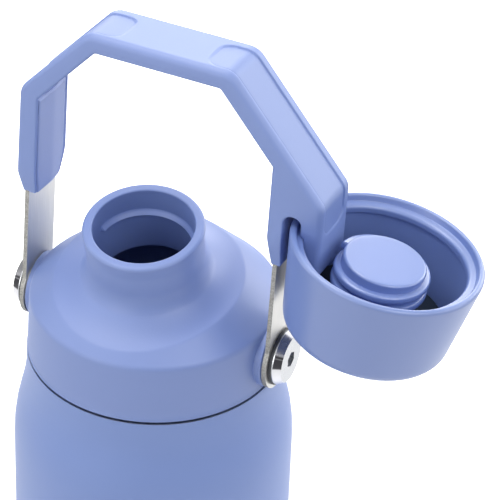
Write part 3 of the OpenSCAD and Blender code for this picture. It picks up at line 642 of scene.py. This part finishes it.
def pad_piece(name, start, stop):
    """Closed slab along the grip's outline: at each place the section is a loop whose top
    lies just under the outer face and whose width follows a rounded rectangle."""
    s = 0.5 * (start + stop) - (0.5 * (stop - start) - 0.2) * np.cos(np.linspace(0, np.pi, 150))
    line = np.stack([np.interp(s, grip_run, column) for column in grip_line.T], 1)
    normal = np.stack([np.interp(s, grip_run, column) for column in grip_in.T], 1)
    normal /= np.linalg.norm(normal, axis=1)[:, None]
    reach = np.clip(np.minimum(s - start, stop - s), 0.2, pad_round)
    width = pad_half - pad_fit - pad_round + np.sqrt(pad_round**2 - (pad_round - reach) ** 2)
    side = np.array([1, 1, 0.995, 0.98, 0.95, 0.8, 0.6, 0.4, 0.2, 0])
    deep = np.array([0.9, 0.22, 0.1, 0.03, 0.01, 0, 0, 0, 0, 0])
    side, deep = np.concatenate([-side, side[-2::-1]]), np.concatenate([deep, deep[-2::-1]])
    v = width[:, None] * side[None]
    ring = line[:, None] + normal[:, None] * (deep[None] + pad_sink(v))[..., None]
    grid = grip_place(ring, v)
    return skin(name, [(grid, False, True)], closed_ends(grid))


soft_grip = moulded("soft_grip", (112, 134, 191), (117, 139, 196), (0.47, 0.55), grain=2600)
for hand, (start, stop) in pads.items():
    fit(pad_piece(f"grip_pad_{hand}_soft", start, stop), soft_grip, "handle", "soft_grip", f"grip_pad_{hand}")


# Leg covers: moulded panels pressed into the legs over the straps. Each has a low crease
# up its middle and a small chamfer along its top edge.
cover_half, cover_proud, crease_v = 9.62, 0.75, 0.6


def cover_piece(name, hand):
    """Closed panel: at each height the section is a loop, flat at the strap and folded
    about a crease on the inner side, and its width follows the leg's tapered end."""
    w = np.concatenate([[40.2, 40.5], np.linspace(41, 74.6, 40), [75.0, 75.4, 75.8]])[:, None]
    top = np.clip((w - 75.0) / 0.8, 0, 1) + np.clip((40.5 - w) / 0.3, 0, 1)
    front, back = leg_taper(w) * 1.1 - cover_half, cover_half - leg_taper(w) * 3.6
    t = np.concatenate([[0, 0, 0.006, 0.02], np.linspace(0.06, 0.94, 13), [0.98, 0.994, 1, 1]])[None]
    v = front + (back - front) * t
    fold = cover_proud + np.where(v < crease_v, 0.035, -0.09) * (v - crease_v)
    from_side = np.minimum(t, 1 - t)
    proud = fold - np.where(from_side < 0.003, 0.35, np.where(from_side < 0.01, 0.08, 0)) - 0.5 * top
    proud[:, [0, -1]] = -1.2
    x = leg_in - proud
    if hand > 0:
        x = x + np.clip((50 - w) / 10, 0, 1) * 1.85
    grid = handle_place(np.stack([hand * x, v, w + 0 * x], -1))
    return skin(name, [(grid, False, True)], closed_ends(grid), crisp=20)


cover_plastic = moulded("cover_plastic", (111, 132, 188), (116, 137, 193), (0.44, 0.52))
for hand, sign in (("left", -1), ("right", 1)):
    cover = cover_piece(f"leg_cover_{hand}_panel", sign)
    fit(cover, cover_plastic, "handle", "moulded_plastic", f"leg_cover_{hand}")


# Cap: a moulded cup with a double rim, hung by its rim on the handle's tongue. Inside it
# are the seal ring and the threaded stopper that closes the spout.
cap_tilt, cap_x, cap_w = math.radians(9.6), 79.56, 50.73
cap_floor, stopper_r, stopper_z = -30.0, 13.75, -2.7
stopper_turns, stopper_end, stopper_low = 841 / 360, 181, -11.75


def cap_place(p):
    """Cap frame (origin in the rim's middle, Z out of its mouth) to row frame: tilted
    away from the handle, beside its tongue."""
    c, s = math.cos(cap_tilt), math.sin(cap_tilt)
    x, y, z = p[..., 0], p[..., 1], p[..., 2]
    return handle_place(np.stack([cap_x + x * c + z * s, y, cap_w - x * s + z * c], -1))


cap_profile = soft_path([
    (0, -32.5, 0), (27.15, -32.5, 5.5), (32.3, 1.2, 1.3), (30.1, 1.2, 0.8), (29.4, -1.0, 0.4),
    (26.95, -1.4, 1.4), (26.95, -3.9, 0.4), (28.2, -4.5, 0.3), (25.4, cap_floor, 1), (0, cap_floor, 0)],
    step=1.4, arc_step=0.12)
core_profile = soft_path([
    (23.2, cap_floor, 0), (25.2, cap_floor, 0), (25.5, -25.5, 0.3), (stopper_r, -25.5, 0),
    (stopper_r, stopper_z, 0.9), (0, stopper_z, 0), (0, -4.9, 0), (11.5, -4.9, 1), (11.5, -28, 0),
    (23.2, -28, 0)], step=1.6, closed=True)
crest = soft_path([
    (13.1, -1.75, 0), (15.75, -1.15, 1.0), (15.75, 1.15, 1.0), (13.1, 1.75, 0)], step=0.5, arc_step=0.12)
stopper_thread = ridge_line(
    crest, stopper_end - 360 * stopper_turns, stopper_turns, stopper_z + stopper_low, thread_pitch)
cap_plastic = moulded("cap_plastic", (112, 134, 192), (117, 139, 197), (0.31, 0.37), depth=0.000008)
cap_shell = skin("cap_shell_moulding", [(cap_place(lathe(cap_profile, 200)), True, False)])
fit(cap_shell, cap_plastic, "cap", "moulded_plastic", "cap_shell")
stopper_plastic = moulded("stopper_plastic", (115, 137, 196), (120, 142, 201), (0.22, 0.28), depth=0.00001)
cap_core = skin("cap_stopper_moulding", [
    (cap_place(lathe(core_profile, 160)), True, True), (cap_place(stopper_thread), False, True)])
fit(cap_core, stopper_plastic, "cap", "moulded_plastic", "cap_core")
dress(seal_rubber, "cap_gasket")


# Studio: a plain pale floor that keeps the shadow near the bottle and fades to white, an
# even surround that looks white, nine soft boxes all round, and the camera.
floor_half, floor_mirror, surround_fill = 2.0, 0.25, 0.04
floor_mesh = bpy.data.meshes.new("floor")
floor_mesh.from_pydata(
    (floor_half * np.array([(-1, -1, 0), (1, -1, 0), (1, 1, 0), (-1, 1, 0)])).tolist(), [], [(0, 1, 2, 3)])
floor = bpy.data.objects.new("floor", floor_mesh)
bpy.context.scene.collection.objects.link(floor)
floor_paint = bpy.data.materials.new("floor_paint")
floor_paint.use_nodes = True
tree = floor_paint.node_tree
paint = tree.nodes["Principled BSDF"]
paint.inputs["Base Color"].default_value = (0.86, 0.86, 0.86, 1)
paint.inputs["Roughness"].default_value = 0.9
paint.inputs["Specular IOR Level"].default_value = 0.0
paint.inputs["Emission Color"].default_value = (1, 1, 1, 1)
seen, spot = tree.nodes.new("ShaderNodeLightPath"), tree.nodes.new("ShaderNodeTexCoord")
away = tree.nodes.new("ShaderNodeVectorMath")
away.operation = "LENGTH"
tree.links.new(spot.outputs["Object"], away.inputs[0])
fade = spread(tree, away.outputs["Value"], (0.1, 0.5), (0.05, 1.0))
fade.interpolation_type = "SMOOTHSTEP"
glow = worked(tree, "MULTIPLY", seen.outputs["Is Camera Ray"], fade.outputs["Result"])
mirrored = worked(tree, "MAXIMUM", seen.outputs["Is Glossy Ray"], seen.outputs["Is Transmission Ray"])
strength = worked(tree, "MAXIMUM", glow, worked(tree, "MULTIPLY", mirrored, floor_mirror))
tree.links.new(strength, paint.inputs["Emission Strength"])
floor.data.materials.append(floor_paint)

world = bpy.data.worlds.new("surround")
bpy.context.scene.world = world
world.use_nodes = True
tree = world.node_tree
back = tree.nodes["Background"]
back.inputs["Color"].default_value = (1, 1, 1, 1)
seen = tree.nodes.new("ShaderNodeLightPath")
direct = worked(tree, "MAXIMUM", seen.outputs["Is Camera Ray"], seen.outputs["Is Glossy Ray"])
direct = worked(tree, "MAXIMUM", direct, seen.outputs["Is Transmission Ray"])
level = spread(tree, direct, (0, 1), (surround_fill, 1.0))
tree.links.new(level.outputs["Result"], back.inputs["Strength"])


def soft_box(name, place, power, aim=(0.03, 0.0, 0.29), size=0.8):
    """A square area light at place, turned to face aim, that the camera doesn't see."""
    lamp = bpy.data.lights.new(name, "AREA")
    lamp.shape, lamp.size, lamp.energy = "SQUARE", size, power
    light = bpy.data.objects.new(name, lamp)
    light.location = place
    light.visible_camera = False
    light.rotation_euler = (Vector(aim) - Vector(place)).to_track_quat("-Z", "Y").to_euler()
    bpy.context.scene.collection.objects.link(light)


soft_box("softbox_back_top", (-0.19, 0.5, 1.52), 6.0)
soft_box("softbox_back_low", (-0.49, 1.19, 0.66), 8.4)
soft_box("softbox_back_right", (0.51, 1.21, 0.66), 8.0)
soft_box("softbox_right_low", (1.22, 0.52, 0.66), 4.2)
soft_box("softbox_front_right", (0.96, -0.37, 1.19), 6.0)
soft_box("softbox_front", (0.43, -0.92, 1.19), 1.9)
soft_box("softbox_front_left", (-0.45, -1.21, 0.66), 4.9)
soft_box("softbox_left_low", (-1.16, -0.52, 0.66), 2.9)
soft_box("softbox_left_top", (-0.47, -0.22, 1.52), 8.4)

camera_place, focal_length = (0.333717, -0.691193, 0.85639), 206.94
azimuth, rise, roll = math.radians(23.465), math.radians(36.168), math.radians(2.282)
back_axis = Vector((math.sin(azimuth) * math.cos(rise), -math.cos(azimuth) * math.cos(rise), math.sin(rise)))
level_axis = Vector((math.cos(azimuth), math.sin(azimuth), 0))
up_axis = back_axis.cross(level_axis)
right_axis = level_axis * math.cos(roll) + up_axis * math.sin(roll)
top_axis = up_axis * math.cos(roll) - level_axis * math.sin(roll)
lens = bpy.data.cameras.new("camera")
lens.sensor_fit, lens.sensor_width, lens.lens = "HORIZONTAL", 36.0, focal_length
lens.clip_start, lens.clip_end = 0.05, 20.0
camera = bpy.data.objects.new("camera", lens)
turn = Matrix((right_axis, top_axis, back_axis)).transposed().to_4x4()
camera.matrix_world = Matrix.Translation(camera_place) @ turn
bpy.context.scene.collection.objects.link(camera)
bpy.context.scene.camera = camera
bpy.context.scene.view_settings.view_transform = "Standard"

bpy.context.view_layer.update()
